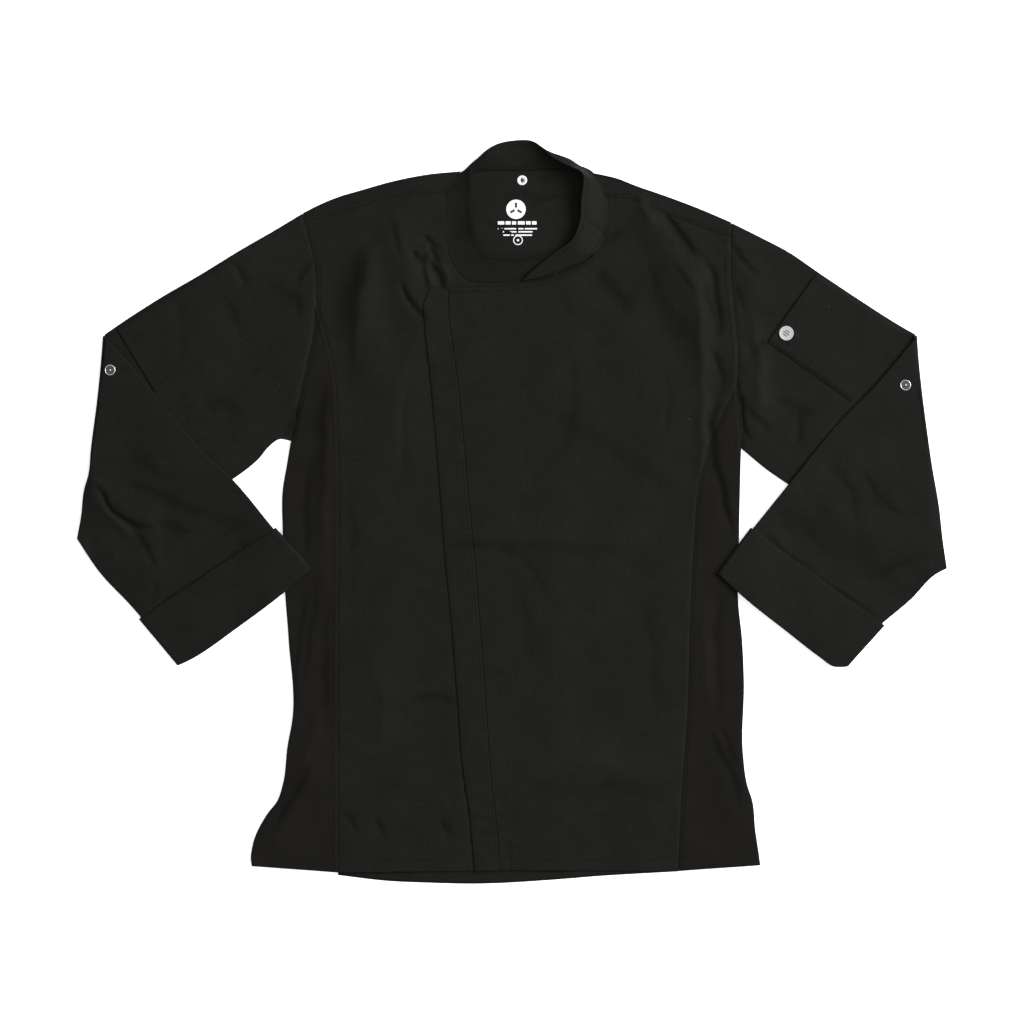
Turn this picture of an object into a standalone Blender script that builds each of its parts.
"""A chef jacket laid flat on its back, fastened, with both sleeves folded over at the elbow.

Run with: blender --background --python part.py

Lengths are in metres. The jacket lies on the plane z = 0, collar towards +Y, front up. +X is to
the wearer's left, so "right" pieces lie at negative x. The tables give plan places in millimetres,
measured on the laid-out jacket from the middle of its outline.

Every piece is a wall of cloth through a grid of points on the middle of its thickness. A piece that
goes round a fold, such as a side panel, the yoke or a sleeve, keeps one grid from leaf to leaf.
"""
import math

import bpy
import numpy as np

MM = 0.001

# Driving sizes of the cloth and of its layers, from the table up.
CLOTH = 1.0 * MM
COLLAR_WALL = 1.6 * MM
PLACKET_WALL = 2.0 * MM
SEAM_GAP = 0.3 * MM
BACK_Z = 0.5 * MM
FRONT_Z = 2.5 * MM
OVERLAP_LIFT = 1.4 * MM
PLACKET_Z = 4.6 * MM
ELBOW_AXIS_Z = 3.95 * MM
CUFF_LOW_Z = 3.8 * MM
CUFF_HIGH_Z = 9.1 * MM
LAID_ON = 1.3 * MM
LEAF_RADIUS = (FRONT_Z - BACK_Z) / 2
FOLD_STEPS = 4

# How far the forearms settle towards the table beyond the layers that carry them.
SETTLE_DROP = 2.8 * MM
SETTLE_START = 15 * MM
SETTLE_RUN = 45 * MM

# Where the left front comes down from the underlap to the level of the right front.
UNDERLAP_MARGIN = 10 * MM
UNDERLAP_RUN = 38 * MM

# Snaps and the badge, measured across and in height.
SNAP_RADIUS = 5.6 * MM
SNAP_HEIGHT = 1.5 * MM
BADGE_RADIUS = 8.0 * MM
BADGE_HEIGHT = 0.9 * MM
SMALL_BEVEL = 0.3 * MM
ROUND_SIDES = 20

# Panel edges, each a row of (x, y) from the hem upwards or from the armhole inwards.
SIDE_OUTLINE_RIGHT = ((-286, -389.5), (-287, -383), (-285, -366), (-269.5, -333), (-257.5, -317),
                      (-252, -300), (-246.5, -256), (-241.5, -229), (-245.5, -141), (-249.5, -87),
                      (-252, -21), (-252, 24), (-247.5, 51), (-244, 72))
SIDE_OUTLINE_LEFT = ((273, -388.5), (271.5, -377), (267.5, -350), (264, -317), (258.5, -300),
                     (254, -267), (255, -185), (253, -141), (248.5, -97), (249.5, -26), (251.5, 64))
PRINCESS_RIGHT = ((-191.5, -396.5), (-191.5, -141), (-191.5, 68), (-196, 156), (-215.5, 233))
PRINCESS_LEFT = ((182.5, -395), (189, -273), (192.5, -229), (196, -119), (200, -31), (207, 35),
                 (223.5, 90), (247.5, 139.5))
ARMHOLE_LOW_RIGHT = ((-243, 78), (-235.5, 117), (-231, 139), (-224.5, 167), (-219, 194),
                     (-215.5, 233))
ARMHOLE_TOP_RIGHT = ((-215.5, 233), (-215.5, 255), (-219, 282), (-224.5, 304), (-230, 322))
ARMHOLE_LOW_LEFT = ((252, 70), (252, 90), (248.5, 123), (247.5, 139.5))
ARMHOLE_MID_LEFT = ((247.5, 139.5), (248.5, 178), (245.5, 211), (243.5, 233))
ARMHOLE_TOP_LEFT = ((243.5, 233), (241, 255), (240.5, 280), (241, 316))
YOKE_SEAM_RIGHT = ((-229, 319), (-194.5, 328.5), (-167, 336.5), (-139.5, 346), (-112, 349.5),
                   (-74.5, 350.5))
YOKE_SEAM_LEFT = ((103, 347.5), (130, 344), (152, 335), (196, 317.5), (212.5, 311), (240.8, 303))
SHOULDER_RIGHT = ((-230, 328.5), (-213.5, 337), (-189, 347), (-167, 353.5), (-123, 365.5), (-90, 371.5),
                  (-57, 374.5))
SHOULDER_LEFT = ((88.5, 373), (116.5, 366.5), (135.5, 359), (163, 349.5), (207, 333), (241, 318.5))
NECK_SIDE_RIGHT = ((-59, 262), (-67, 274.5), (-71.5, 299), (-72.5, 326.5), (-74.5, 350.5))
NECK_FRONT_RIGHT = ((-59, 262), (-53, 256.5), (-24, 252), (0, 253), (20, 257), (36.5, 264), (50.5, 271.5))
NECK_FRONT_LEFT = ((-69.5, 247), (6.5, 250.5), (36.5, 256.5), (58.5, 265.5), (86, 279))
NECK_SIDE_LEFT = ((86, 279), (97.5, 297.5), (104.5, 326.5), (103, 347.5))
UNDERLAP_EDGE = ((23, -394), (37.5, 13), (50.5, 271.5))
STITCH_LINE = ((-13, -394), (-15.5, -356), (-22, -300), (-27.5, -226), (-35, -122), (-40.5, -53),
               (-46, 1), (-51.5, 63), (-60.5, 152), (-69.5, 225), (-69.5, 247))
OVERLAP_EDGE = ((-40.5, -395), (-46, -333), (-53, -285), (-59.5, -202), (-66, -120), (-72.5, -53),
                (-78, 18), (-82.5, 74), (-90, 155), (-95.5, 208), (-95.5, 233), (-90, 245))
BACK_HEM = ((-191.5, -399.5), (-135.5, -406), (-90, -408), (-45, -409), (40.5, -405), (97, -400.5),
            (182.5, -395.5))
BACK_YOKE_SEAM = ((-215.5, 233), (243.5, 233))
NECK_BACK_Y = 374.3 * MM

# How many faces each panel has along its edges.
YOKE_SPANS = 6
NECK_SPANS = 5
BODY_SPANS = 15
BELOW_ARM_SPANS = 12
ARMHOLE_SPANS = 3
BACK_SPANS = 8
UNDERLAP_SPANS = 5
OVERLAP_SPANS = 7
BAND_SPANS = 2
POCKET_SPANS = 4
SIDE_SPANS_RIGHT = {"across": 4, "up": BODY_SPANS, "flare": 6}
SIDE_SPANS_LEFT = {"across": 2, "up": BELOW_ARM_SPANS, "flare": 5}

# Sleeve edges: the upper sleeve runs from the armhole to the elbow, the forearm from elbow to cuff.
# "top" is the edge that starts at the shoulder, "low" the one that starts under the arm.
SLEEVES = {
    "right": {
        "upper_top": ((-230, 328.5), (-255, 313.5), (-299, 288), (-343, 261), (-387, 235.5), (-420, 214.5),
                      (-450, 194)),
        "upper_low": ((-243, 78), (-255, 80), (-268, 71), (-277, 60), (-307, 36), (-398, -1), (-477, -29)),
        "elbow": ((-478.5, -29), (-474, -3.5), (-471, 24), (-466, 42), (-463.5, 68), (-456.5, 123),
                  (-452, 168), (-450, 194)),
        "fore_top": ((-450, 194), (-433.5, 178), (-387, 123), (-343, 71), (-307, 36), (-261.5, -18.5)),
        "fore_low": ((-478.5, -29), (-452, -68.5), (-420, -102.5), (-408.5, -115.5)),
        "cuff": ((-410.5, -118), (-368, -169), (-220, -61), (-259.5, -17)),
        "cuff_end": ((-368, -169), (-355, -162.5), (-300, -125), (-254, -90.5), (-220, -61)),
    },
    "left": {
        "upper_top": ((241, 318.5), (273, 302.5), (306, 285), (333.5, 266), (383, 233), (427, 205),
                      (445.5, 194.5)),
        "upper_low": ((252, 70), (262, 61.5), (277, 49), (303.5, 30.5), (394, -22.5), (478.5, -62)),
        "elbow": ((478.5, -62), (474, -31), (469.5, 8.5), (463, 46), (456.5, 91), (447.5, 168),
                  (445.5, 194.5)),
        "fore_top": ((445.5, 194.5), (394, 134), (361, 101), (303.5, 30.5), (277, -2.5), (264, -18.5)),
        "fore_low": ((478.5, -62), (467.5, -67.5), (438, -97), (407, -123)),
        "cuff": ((410, -125), (369.5, -171), (225.5, -66.5), (262, -17)),
        "cuff_end": ((369.5, -171), (353, -169), (340, -160), (300, -129), (263, -100), (225.5, -66.5)),
    },
}
UPPER_SPANS = 6
FORE_SPANS = 6
CUFF_SPANS = 2
CUFF_EASE = 2.5 * MM

# Pockets on the upper sleeves: mouth, bottom seam, hidden end and top edge, as plan corners.
PEN_POCKET_RIGHT = ((-305, 276.5), (-276, 199), (-392, 132), (-432, 199))
SLEEVE_POCKET_LEFT = ((333, 260.5), (281, 186.5), (372, 121.5), (429, 197.5))
POCKET_TAB_LEFT = ((309, 208), (291, 197), (302, 181), (319, 193))
BADGE_CENTRE = (301.5, 196.5)
SNAP_NECK = (11, 365)
SNAP_SLEEVE_RIGHT = (-441.5, 156)
SNAP_SLEEVE_LEFT = (432.5, 139.5)
NECK_CENTRE = (9, 322)

# The collar band from the overlapping front end, round the back, to the end underneath.
# Columns: base x, y, z, top x, top y, top z, belly outwards halfway up.
COLLAR_SECTIONS = (
    (11.0, 254.0, 6.0, 15.0, 258.5, 8.5, 0.0),
    (36.5, 259.5, 5.0, 32.0, 273.0, 12.0, 1.0),
    (59.5, 269.0, 4.6, 53.0, 288.0, 16.0, 2.0),
    (80.0, 279.0, 4.2, 67.0, 301.0, 19.0, 2.5),
    (93.5, 297.5, 3.6, 74.0, 319.0, 21.5, 2.5),
    (100.0, 322.0, 3.2, 76.0, 341.0, 24.0, 2.5),
    (98.0, 345.0, 3.2, 78.0, 360.5, 26.0, 2.5),
    (87.0, 364.5, 3.2, 76.0, 372.5, 27.0, 3.0),
    (74.0, 375.5, 2.6, 64.0, 378.0, 26.0, 7.0),
    (55.0, 378.0, 1.8, 45.0, 388.0, 24.0, 8.5),
    (36.0, 377.0, 1.3, 32.0, 400.0, 18.0, 3.5),
    (17.5, 376.0, 1.1, 19.0, 408.5, 10.0, 0.0),
    (0.0, 376.0, 1.1, -1.5, 408.0, 9.0, 0.0),
    (-20.0, 376.0, 1.1, -21.0, 401.5, 11.0, 0.0),
    (-37.5, 375.0, 1.3, -33.0, 391.5, 14.0, 2.0),
    (-49.0, 371.0, 2.4, -42.0, 380.5, 15.0, 4.0),
    (-60.5, 362.5, 3.1, -46.0, 368.0, 14.0, 3.0),
    (-68.5, 346.0, 3.1, -45.5, 348.5, 12.5, 2.5),
    (-69.5, 323.0, 3.1, -44.5, 325.0, 11.5, 2.0),
    (-68.5, 299.0, 3.1, -39.5, 303.5, 10.5, 1.5),
    (-63.5, 278.0, 3.1, -33.0, 288.0, 10.0, 1.0),
    (-51.5, 261.5, 3.1, -22.0, 283.0, 9.5, 1.0),
    (-24.0, 255.5, 3.1, -4.5, 281.5, 9.0, 1.0),
    (0.0, 256.5, 3.1, 13.0, 281.0, 8.5, 1.0),
    (22.0, 262.0, 3.1, 28.5, 282.5, 8.5, 1.0),
    (43.0, 271.0, 3.1, 42.0, 284.5, 8.5, 1.0),
)

# The largest soft folds of each layer: a ridge from one plan place to the other.
# Columns: start x, start y, end x, end y, half width, height.
BODY_FOLDS = (
    (150, 318, 196, 256, 17, 2.6),
    (196, 256, 210, 180, 17, 2.2),
    (-132, 312, -106, 226, 17, 2.4),
    (-168, 300, -150, 150, 20, 1.6),
    (20, -292, 180, -268, 26, 1.8),
    (10, -41, 130, -36, 18, 1.2),
    (60, 250, 118, 214, 18, 1.6),
    (-110, -206, -70, -213, 16, 1.2),
    (-226, -290, -262, -352, 16, 2.0),
    (222, -246, 246, -332, 16, 2.0),
)
UPPER_SLEEVE_FOLDS = (
    (246, 292, 268, 236, 16, 1.6),
    (262, 150, 272, 96, 16, 1.4),
)
FOREARM_FOLDS = (
    (-458, 22, -402, -12, 16, 2.6),
    (-402, -12, -397, -58, 15, 1.6),
    (425, -82, 456, -62, 16, 1.4),
)

COLOURS = {
    "cloth": (0.016, 0.016, 0.014),
    "mesh": (0.012, 0.011, 0.010),
    "metal": (0.35, 0.35, 0.36),
    "white": (0.80, 0.80, 0.78),
}


def clear_scene():
    """Remove every object of the open file."""
    for old in list(bpy.data.objects):
        bpy.data.objects.remove(old, do_unlink=True)


def material(name, colour, roughness, metallic=0.0):
    """A plain Principled material."""
    made = bpy.data.materials.new(name)
    made.use_nodes = True
    shader = made.node_tree.nodes["Principled BSDF"]
    shader.inputs["Base Color"].default_value = (*colour, 1.0)
    shader.inputs["Roughness"].default_value = roughness
    shader.inputs["Metallic"].default_value = metallic
    return made


def spaced(points, spans):
    """Points at equal steps of length along a line of plan points in millimetres."""
    line = np.array(points, dtype=float) * MM
    run = np.concatenate(([0.0], np.cumsum(np.linalg.norm(np.diff(line, axis=0), axis=1))))
    wanted = np.linspace(0.0, run[-1], spans + 1)
    return np.stack([np.interp(wanted, run, line[:, axis]) for axis in range(2)], axis=1)


def joined(*parts):
    """One line from lines that meet end to end."""
    return np.concatenate([parts[0]] + [part[1:] for part in parts[1:]])


def filled(bottom, top, left, right):
    """Coons patch: plan grid whose four edges are the given lines, rows from bottom to top."""
    u = np.linspace(0, 1, len(bottom))[None, :, None]
    v = np.linspace(0, 1, len(left))[:, None, None]
    between_rows = (1 - v) * bottom[None] + v * top[None]
    between_columns = (1 - u) * left[:, None] + u * right[:, None]
    corners = ((1 - u) * (1 - v) * bottom[0] + u * (1 - v) * bottom[-1]
               + (1 - u) * v * top[0] + u * v * top[-1])
    return between_rows + between_columns - corners


def unit(vectors):
    """Vectors scaled to length one."""
    return vectors / np.linalg.norm(vectors, axis=-1, keepdims=True)


def smooth_step(values):
    """Ease from 0 to 1, flat at both ends."""
    held = np.clip(values, 0, 1)
    return held * held * (3 - 2 * held)


def ridges(plan, folds):
    """Height of the soft folds at plan points: a bell curve of the distance to each fold's line."""
    height = np.zeros(plan.shape[:-1])
    for x0, y0, x1, y1, half_width, rise in folds:
        start = np.array((x0, y0)) * MM
        run = np.array((x1 - x0, y1 - y0)) * MM
        share = np.clip((plan - start) @ run / (run @ run), 0, 1)
        away = np.linalg.norm(plan - start - share[..., None] * run, axis=-1)
        height += rise * MM * np.exp(-(away / (half_width * MM)) ** 2)
    return height


def with_height(plan, height):
    """Plan points made three-dimensional."""
    return np.concatenate([plan, np.broadcast_to(height, plan.shape[:-1])[..., None]], axis=-1)


def pulled_in(grid, first_row=False, last_row=False, first_column=False, last_column=False):
    """A grid drawn back by half a seam gap along the chosen edges."""
    moved = grid.copy()
    half = SEAM_GAP / 2
    if first_row:
        moved[0] += unit(grid[1] - grid[0]) * half
    if last_row:
        moved[-1] += unit(grid[-2] - grid[-1]) * half
    if first_column:
        moved[:, 0] += unit(grid[:, 1] - grid[:, 0]) * half
    if last_column:
        moved[:, -1] += unit(grid[:, -2] - grid[:, -1]) * half
    return moved


def wall(name, grid, thickness, finish, collection, closed=False, missing=None):
    """A wall of cloth with the grid on its middle, closed across its columns where it is a tube."""
    rows, columns = grid.shape[:2]
    number = np.arange(rows * columns).reshape(rows, columns)
    if closed:
        number = np.concatenate([number, number[:, :1]], axis=1)
    corners = np.stack([number[:-1, :-1], number[:-1, 1:], number[1:, 1:], number[1:, :-1]], axis=-1)
    if missing is not None:
        faces = corners[~missing]
    else:
        faces = corners.reshape(-1, 4)
    used, packed = np.unique(faces, return_inverse=True)
    mesh = bpy.data.meshes.new(name)
    mesh.from_pydata(grid.reshape(-1, 3)[used].tolist(), [], packed.reshape(-1, 4).tolist())
    mesh.materials.append(finish)
    piece = bpy.data.objects.new(name, mesh)
    collection.objects.link(piece)
    solidify = piece.modifiers.new("thickness", "SOLIDIFY")
    solidify.thickness = thickness
    solidify.offset = 0.0
    return piece


def button(name, centre, base_z, radius, height, finish, collection):
    """A low round piece with softened rims, standing on base_z."""
    place = (centre[0] * MM, centre[1] * MM, base_z + height / 2)
    bpy.ops.mesh.primitive_cylinder_add(vertices=ROUND_SIDES, radius=radius, depth=height, location=place)
    piece = bpy.context.object
    piece.name = name
    piece.data.name = name
    for owner in list(piece.users_collection):
        owner.objects.unlink(piece)
    collection.objects.link(piece)
    bevel = piece.modifiers.new("soft rims", "BEVEL")
    bevel.width = SMALL_BEVEL
    bevel.segments = 1
    piece.data.materials.append(finish)
    return piece


def edge_turn(last, before, low_z, high_z):
    """Points that carry a leaf's end round from high_z to low_z, past the end, in FOLD_STEPS."""
    outward = unit(last - before)
    radius = (high_z - low_z) / 2
    middle = (high_z + low_z) / 2
    turns = []
    for step in range(1, FOLD_STEPS):
        angle = math.pi * step / FOLD_STEPS
        place = last + outward * radius * math.sin(angle)
        turns.append(with_height(place, middle + radius * math.cos(angle)))
    return turns


def drawn_back(line, inner, distance):
    """A line of leaf ends moved inwards, towards the next line of the grid."""
    return line + unit(inner - line) * distance


def front_height(plan):
    """Middle of the front layer: its level and the body's folds."""
    return FRONT_Z + ridges(plan, BODY_FOLDS)


def overlap_height(plan):
    """Middle of the left front: raised over the underlap, down to the front's level beyond it."""
    edge = np.array(UNDERLAP_EDGE, dtype=float) * MM
    beyond = plan[..., 0] - np.interp(plan[..., 1], edge[:, 1], edge[:, 0]) - UNDERLAP_MARGIN
    return front_height(plan) + OVERLAP_LIFT * (1 - smooth_step(beyond / UNDERLAP_RUN))


def make_back_panel(finish, collection):
    """The flat back between the side panels, from the hem to the yoke."""
    yoke_seam = spaced(BACK_YOKE_SEAM, BACK_SPANS)
    left_edge = spaced(PRINCESS_RIGHT, BODY_SPANS)
    right_edge = joined(spaced(PRINCESS_LEFT, BELOW_ARM_SPANS), spaced(ARMHOLE_MID_LEFT, ARMHOLE_SPANS))
    hem = spaced(BACK_HEM, BACK_SPANS)
    left_edge[0] = hem[0]
    right_edge[0] = hem[-1]
    grid = with_height(filled(hem, yoke_seam, left_edge, right_edge), BACK_Z)
    grid = pulled_in(grid, last_row=True, first_column=True, last_column=True)
    wall("back_panel", grid, CLOTH, finish, collection)


def stepped(lower, upper, first_column):
    """One grid from a block and a narrower block on its top edge, and which of its faces are missing."""
    rows = np.repeat(lower[-1:], len(upper) - 1, axis=0)
    rows[:, first_column:first_column + upper.shape[1]] = upper[1:]
    grid = np.concatenate([lower, rows])
    missing = np.ones((grid.shape[0] - 1, grid.shape[1] - 1), dtype=bool)
    missing[:len(lower) - 1] = False
    missing[len(lower) - 1:, first_column:first_column + upper.shape[1] - 1] = False
    return grid, missing


def make_yoke(finish, collection):
    """The yoke: a back leaf that goes over both shoulders and ends in a front leaf on each."""
    neck = spaced((SHOULDER_RIGHT[-1], SHOULDER_LEFT[0]), NECK_SPANS)
    outline = joined(spaced(SHOULDER_RIGHT, YOKE_SPANS), neck, spaced(SHOULDER_LEFT, YOKE_SPANS))
    bottom = spaced(BACK_YOKE_SEAM, len(outline) - 1)
    armhole_right = spaced(ARMHOLE_TOP_RIGHT, ARMHOLE_SPANS)
    armhole_left = spaced(ARMHOLE_TOP_LEFT, ARMHOLE_SPANS)
    armhole_right[-1] = outline[0]
    armhole_left[-1] = outline[-1]
    back = filled(bottom, outline, armhole_right, armhole_left)
    leaf_end = drawn_back(back[-1], back[-2], LEAF_RADIUS + CLOTH / 2)
    leaf_end[YOKE_SPANS + 1:YOKE_SPANS + NECK_SPANS, 1] = NECK_BACK_Y
    rows = [with_height(row, BACK_Z) for row in back[:-1]]
    rows.append(with_height(leaf_end, BACK_Z))
    rows += edge_turn(leaf_end, back[-2], BACK_Z, FRONT_Z)[::-1]
    rows.append(with_height(leaf_end, front_height(leaf_end)))
    under_neck = spaced((YOKE_SEAM_RIGHT[-1], YOKE_SEAM_LEFT[0]), NECK_SPANS)
    seam = joined(spaced(YOKE_SEAM_RIGHT, YOKE_SPANS), under_neck, spaced(YOKE_SEAM_LEFT, YOKE_SPANS))
    rows.append(with_height(seam, front_height(seam)))
    grid = np.stack(rows)
    missing = np.zeros((grid.shape[0] - 1, grid.shape[1] - 1), dtype=bool)
    missing[len(back) - 1:, YOKE_SPANS:YOKE_SPANS + NECK_SPANS] = True
    grid = pulled_in(grid, first_row=True, last_row=True, first_column=True, last_column=True)
    wall("back_yoke", grid, CLOTH, finish, collection, missing=missing)


def make_front_right(finish, collection):
    """The right front, which runs on under the overlap as the underlap."""
    beside_neck = spaced((PRINCESS_RIGHT[-1], NECK_SIDE_RIGHT[0]), YOKE_SPANS)
    level = joined(beside_neck, spaced(NECK_FRONT_RIGHT, UNDERLAP_SPANS))
    hem = spaced((PRINCESS_RIGHT[0], UNDERLAP_EDGE[0]), YOKE_SPANS + UNDERLAP_SPANS)
    lower = filled(hem, level, spaced(PRINCESS_RIGHT, BODY_SPANS), spaced(UNDERLAP_EDGE, BODY_SPANS))
    armhole = spaced(ARMHOLE_TOP_RIGHT[:-1] + YOKE_SEAM_RIGHT[:1], ARMHOLE_SPANS)
    neck_side = spaced(NECK_SIDE_RIGHT, ARMHOLE_SPANS)
    upper = filled(beside_neck, spaced(YOKE_SEAM_RIGHT, YOKE_SPANS), armhole, neck_side)
    plan, missing = stepped(lower, upper, 0)
    grid = pulled_in(with_height(plan, front_height(plan)), first_column=True)
    grid[-1, :YOKE_SPANS + 1, 1] -= SEAM_GAP / 2
    wall("front_right", grid, CLOTH, finish, collection, missing=missing)


def make_front_left(finish, collection):
    """The left front from the placket's stitch line to the side, over the underlap."""
    beside_neck = spaced((NECK_FRONT_LEFT[-1], ARMHOLE_MID_LEFT[-1]), YOKE_SPANS)
    level = joined(spaced(NECK_FRONT_LEFT, OVERLAP_SPANS), beside_neck)
    hem = spaced((STITCH_LINE[0], PRINCESS_LEFT[0]), OVERLAP_SPANS + YOKE_SPANS)
    side = joined(spaced(PRINCESS_LEFT, BELOW_ARM_SPANS), spaced(ARMHOLE_MID_LEFT, ARMHOLE_SPANS))
    lower = filled(hem, level, spaced(STITCH_LINE, BODY_SPANS), side)
    armhole = spaced(ARMHOLE_TOP_LEFT[:-1] + YOKE_SEAM_LEFT[-1:], ARMHOLE_SPANS)
    neck_side = spaced(NECK_SIDE_LEFT, ARMHOLE_SPANS)
    upper = filled(beside_neck, spaced(YOKE_SEAM_LEFT, YOKE_SPANS), neck_side, armhole)
    plan, missing = stepped(lower, upper, OVERLAP_SPANS)
    grid = pulled_in(with_height(plan, overlap_height(plan)), first_column=True, last_column=True)
    grid[-1, OVERLAP_SPANS:, 1] -= SEAM_GAP / 2
    wall("front_left", grid, CLOTH, finish, collection, missing=missing)


def make_placket(finish, collection):
    """The fly placket: a folded band, twice the cloth, from the overlap's edge to its stitch line."""
    straight = spaced(OVERLAP_EDGE[:-3], BELOW_ARM_SPANS)
    edge = joined(straight, spaced(OVERLAP_EDGE[-4:], BODY_SPANS - BELOW_ARM_SPANS))
    stitch = spaced(STITCH_LINE, BODY_SPANS)
    hem = spaced((OVERLAP_EDGE[0], STITCH_LINE[0]), BAND_SPANS)
    top = spaced((OVERLAP_EDGE[-1], STITCH_LINE[-1]), BAND_SPANS)
    plan = filled(hem, top, edge, stitch)
    height = front_height(plan) - FRONT_Z + PLACKET_Z
    grid = pulled_in(with_height(plan, height), last_column=True)
    wall("placket", grid, PLACKET_WALL, finish, collection)


def make_side_panel(side, outline, princess, armhole, spans, finish, collection):
    """A side panel: front leaf, turn at the side and back leaf, from princess seam to princess seam."""
    top = spaced(armhole, spans["across"])[::-1]
    top[-1] = np.array(outline[-1]) * MM
    inner = spaced(princess, spans["up"])
    outer = joined(spaced(outline[:7], spans["flare"]), spaced(outline[6:], spans["up"] - spans["flare"]))
    hem = spaced((princess[0], outline[0]), spans["across"])
    plan = filled(hem, top, inner, outer)
    plan[:, -1] = drawn_back(plan[:, -1], plan[:, -2], LEAF_RADIUS + CLOTH / 2)
    front = with_height(plan, front_height(plan))
    turns = edge_turn(plan[:, -1], plan[:, -2], BACK_Z, FRONT_Z)
    back = with_height(plan, BACK_Z)[:, ::-1]
    lift = (front[:, -1, 2] - FRONT_Z)[:, None]
    for step, turn in enumerate(turns, start=1):
        turn[:, 2:] += lift * (1 - step / FOLD_STEPS)
    grid = np.concatenate([front, np.stack(turns, axis=1), back], axis=1)
    grid = pulled_in(grid, last_row=True, first_column=True, last_column=True)
    wall("side_panel_" + side, grid, CLOTH, finish, collection)


def make_collar(finish, collection):
    """The standing band: each section leans from its base to its top edge with a belly between."""
    table = np.array(COLLAR_SECTIONS) * MM
    base = table[:, 0:3]
    top = table[:, 3:6]
    outward = with_height(unit(base[:, :2] - np.array(NECK_CENTRE) * MM), 0.0)
    middle = (base + top) / 2 + outward * table[:, 6:7]
    wall("collar", np.stack([base, middle, top]), COLLAR_WALL, finish, collection)


def settle(plan, sleeve, body_edge_x):
    """How far the forearm sinks where neither the upper sleeve nor the body is under it."""
    under_arm = np.array(sleeve["upper_low"][0]) * MM
    elbow = np.array(sleeve["upper_low"][-1]) * MM
    along = unit(elbow - under_arm)
    side = math.copysign(1.0, body_edge_x)
    below = (plan - under_arm) @ np.array((along[1], -along[0])) * side
    outside = (plan[..., 0] - body_edge_x) * side
    free = np.minimum(below, outside) - SETTLE_START
    return SETTLE_DROP * smooth_step(free / SETTLE_RUN)


def ring_points(rung, low_level, high_level):
    """Closed ring over one rung of a sleeve, from its high leaf round both ends to its low leaf.

    The rung's plan points run from the low edge to the top edge. Returns the plan place and the level
    of each ring point, and which rung point it belongs to."""
    radius = (high_level - low_level) / 2
    middle = (high_level + low_level) / 2
    line = narrowed(rung, radius + CLOTH / 2)
    angles = np.pi * np.arange(1, FOLD_STEPS) / FOLD_STEPS
    reach = radius * np.sin(angles)[:, None]
    drop = radius * np.cos(angles)
    top_turn = line[-1] + unit(line[-1] - line[-2]) * reach
    low_turn = line[0] + unit(line[0] - line[1]) * reach
    count = len(line)
    places = np.concatenate([line, top_turn, line[::-1], low_turn])
    high = np.full(count, high_level)
    low = np.full(count, low_level)
    levels = np.concatenate([high, middle + drop, low, middle - drop])
    turn = np.zeros(len(angles), dtype=int)
    owner = np.concatenate([np.arange(count), turn + count - 1, np.arange(count)[::-1], turn])
    return places, levels, owner


def narrowed(rung, distance):
    """A rung with both of its ends moved inwards."""
    line = rung.copy()
    line[0] += unit(rung[1] - rung[0]) * distance
    line[-1] += unit(rung[-2] - rung[-1]) * distance
    return line


def cuff_rungs(side, spans):
    """Plan grid of the cuff, a column for each rung from the turn-up's edge to the sleeve's end."""
    start_low, end_low, end_top, start_top = SLEEVES[side]["cuff"]
    return filled(spaced((start_low, end_low), CUFF_SPANS), spaced((start_top, end_top), CUFF_SPANS),
                  spaced((start_low, start_top), spans), spaced(SLEEVES[side]["cuff_end"], spans))


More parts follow.
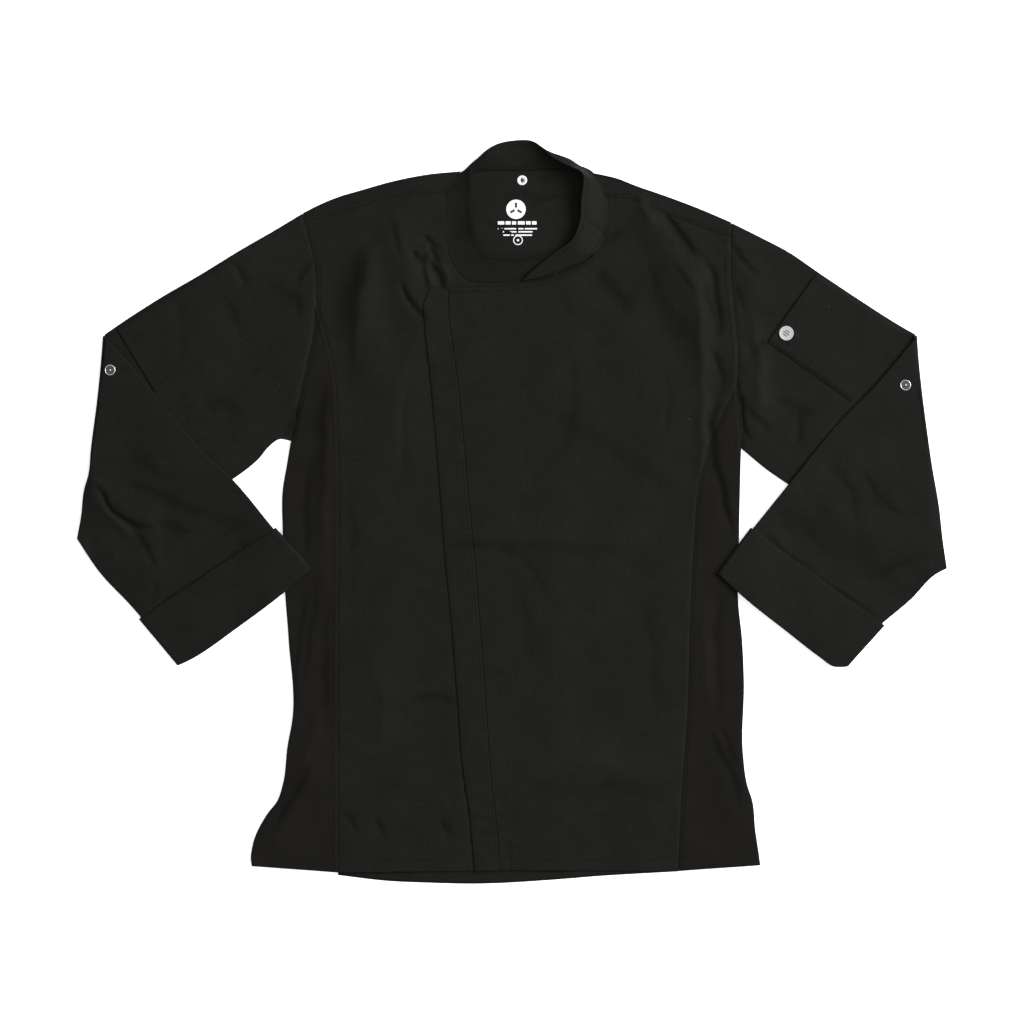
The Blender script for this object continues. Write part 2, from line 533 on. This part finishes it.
def make_sleeve(side, armhole, body_edge_x, finish, collection):
    """A sleeve: a flattened tube from the armhole to the elbow, over the elbow fold and on to the cuff."""
    sleeve = SLEEVES[side]
    spans = len(armhole) - 1
    elbow = spaced(sleeve["elbow"], spans)
    chord = unit(elbow[-1] - elbow[0])
    outward = np.array((chord[1], -chord[0])) * math.copysign(1.0, body_edge_x)
    bend = elbow - outward * (ELBOW_AXIS_Z - BACK_Z + CLOTH / 2)
    upper_low = spaced(sleeve["upper_low"], UPPER_SPANS)
    upper_top = spaced(sleeve["upper_top"], UPPER_SPANS)
    fore_low = spaced(sleeve["fore_low"], FORE_SPANS)
    fore_top = spaced(sleeve["fore_top"], FORE_SPANS)
    upper_low[0], upper_top[0] = armhole[0], armhole[-1]
    upper_low[-1] = fore_low[0] = bend[0]
    upper_top[-1] = fore_top[0] = bend[-1]
    in_cuff = cuff_rungs(side, spans)
    cuff_start = narrowed(in_cuff[:, 0], CUFF_EASE)
    fore_low[-1], fore_top[-1] = cuff_start[0], cuff_start[-1]
    upper = filled(upper_low, upper_top, armhole, bend)
    fore = filled(fore_low, fore_top, bend, cuff_start)

    rings = []
    for column in range(UPPER_SPANS + 1):
        plan, level, owner = ring_points(upper[:, column], BACK_Z, FRONT_Z)
        on_front = level == FRONT_Z
        rings.append(with_height(plan, level + ridges(plan, UPPER_SLEEVE_FOLDS) * on_front))
    for step in range(1, FOLD_STEPS):
        angle = math.pi * step / FOLD_STEPS
        plan, level, owner = ring_points(bend, BACK_Z, FRONT_Z)
        reach = ELBOW_AXIS_Z - level
        turned = plan + outward * reach[:, None] * math.sin(angle)
        rings.append(with_height(turned, ELBOW_AXIS_Z - reach * math.cos(angle)))
    fore_columns = [(fore[:, column], fore[:, column]) for column in range(FORE_SPANS)]
    for column in range(CUFF_SPANS + 1):
        rung = in_cuff[:, column].copy()
        if column == CUFF_SPANS:
            rung += unit(in_cuff[:, column - 1] - rung) * CUFF_EASE / 2
        fore_columns.append((narrowed(rung, CUFF_EASE), in_cuff[:, column]))
    for rung, carried in fore_columns:
        plan, level, owner = ring_points(rung, BACK_Z, FRONT_Z)
        on_top = level == BACK_Z
        height = 2 * ELBOW_AXIS_Z - level - settle(carried, sleeve, body_edge_x)[owner]
        rings.append(with_height(plan, height + ridges(plan, FOREARM_FOLDS) * on_top))
    grid = pulled_in(np.stack(rings), first_row=True)
    wall("sleeve_" + side, grid, CLOTH, finish, collection, closed=True)


def make_cuff(side, body_edge_x, spans, finish, collection):
    """The turned-up cuff: a flat band round the end of the forearm."""
    rungs = cuff_rungs(side, spans)
    rings = []
    for column in range(CUFF_SPANS + 1):
        plan, level, owner = ring_points(rungs[:, column], CUFF_LOW_Z, CUFF_HIGH_Z)
        sink = settle(rungs[:, column], SLEEVES[side], body_edge_x)[owner]
        rings.append(with_height(plan, level - sink))
    wall("cuff_" + side, np.stack(rings), CLOTH, finish, collection, closed=True)


def make_patch(name, corners, spans, base_z, finish, collection):
    """A flat four-cornered piece laid on the cloth, the corners given in order round its edge."""
    first, second, third, fourth = corners
    plan = filled(spaced((first, second), spans), spaced((fourth, third), spans),
                  spaced((first, fourth), spans), spaced((second, third), spans))
    wall(name, with_height(plan, base_z + ridges(plan, UPPER_SLEEVE_FOLDS)), CLOTH, finish, collection)


def main():
    """Build every piece in one collection."""
    clear_scene()
    collection = bpy.data.collections.new("chef_jacket")
    bpy.context.scene.collection.children.link(collection)
    cloth = material("black_cloth", COLOURS["cloth"], 0.85)
    mesh = material("black_mesh", COLOURS["mesh"], 0.9)
    metal = material("snap_metal", COLOURS["metal"], 0.35, 1.0)
    white = material("badge_white", COLOURS["white"], 0.5)

    make_back_panel(cloth, collection)
    make_yoke(cloth, collection)
    make_front_right(cloth, collection)
    make_front_left(cloth, collection)
    make_placket(cloth, collection)
    make_side_panel("right", SIDE_OUTLINE_RIGHT, PRINCESS_RIGHT, ARMHOLE_LOW_RIGHT,
                    SIDE_SPANS_RIGHT, mesh, collection)
    make_side_panel("left", SIDE_OUTLINE_LEFT, PRINCESS_LEFT, ARMHOLE_LOW_LEFT,
                    SIDE_SPANS_LEFT, mesh, collection)
    make_collar(cloth, collection)

    low_right = spaced(ARMHOLE_LOW_RIGHT, SIDE_SPANS_RIGHT["across"])
    low_left = spaced(ARMHOLE_LOW_LEFT, SIDE_SPANS_LEFT["across"])
    top_right = spaced(ARMHOLE_TOP_RIGHT, ARMHOLE_SPANS)
    top_left = joined(spaced(ARMHOLE_MID_LEFT, ARMHOLE_SPANS), spaced(ARMHOLE_TOP_LEFT, ARMHOLE_SPANS))
    arms = (("right", joined(low_right, top_right), SIDE_OUTLINE_RIGHT),
            ("left", joined(low_left, top_left), SIDE_OUTLINE_LEFT))
    for side, armhole, outline in arms:
        body_edge_x = outline[-2][0] * MM
        make_sleeve(side, armhole, body_edge_x, cloth, collection)
        make_cuff(side, body_edge_x, len(armhole) - 1, cloth, collection)

    make_patch("pen_pocket_right", PEN_POCKET_RIGHT, POCKET_SPANS, FRONT_Z + LAID_ON, cloth, collection)
    make_patch("sleeve_pocket_left", SLEEVE_POCKET_LEFT, POCKET_SPANS, FRONT_Z + LAID_ON, cloth, collection)
    make_patch("pocket_tab_left", POCKET_TAB_LEFT, 1, FRONT_Z + 2 * LAID_ON, cloth, collection)

    badge_z = FRONT_Z + 2 * LAID_ON + CLOTH / 2 + SEAM_GAP
    button("pocket_badge", BADGE_CENTRE, badge_z, BADGE_RADIUS, BADGE_HEIGHT, white, collection)
    forearm_top = 2 * ELBOW_AXIS_Z - BACK_Z + CLOTH / 2 + SEAM_GAP
    button("snap_sleeve_right", SNAP_SLEEVE_RIGHT, forearm_top, SNAP_RADIUS, SNAP_HEIGHT, metal, collection)
    button("snap_sleeve_left", SNAP_SLEEVE_LEFT, forearm_top, SNAP_RADIUS, SNAP_HEIGHT, metal, collection)
    back_top = BACK_Z + CLOTH / 2 + SEAM_GAP
    button("snap_neck", SNAP_NECK, back_top, SNAP_RADIUS, SNAP_HEIGHT, metal, collection)


main()
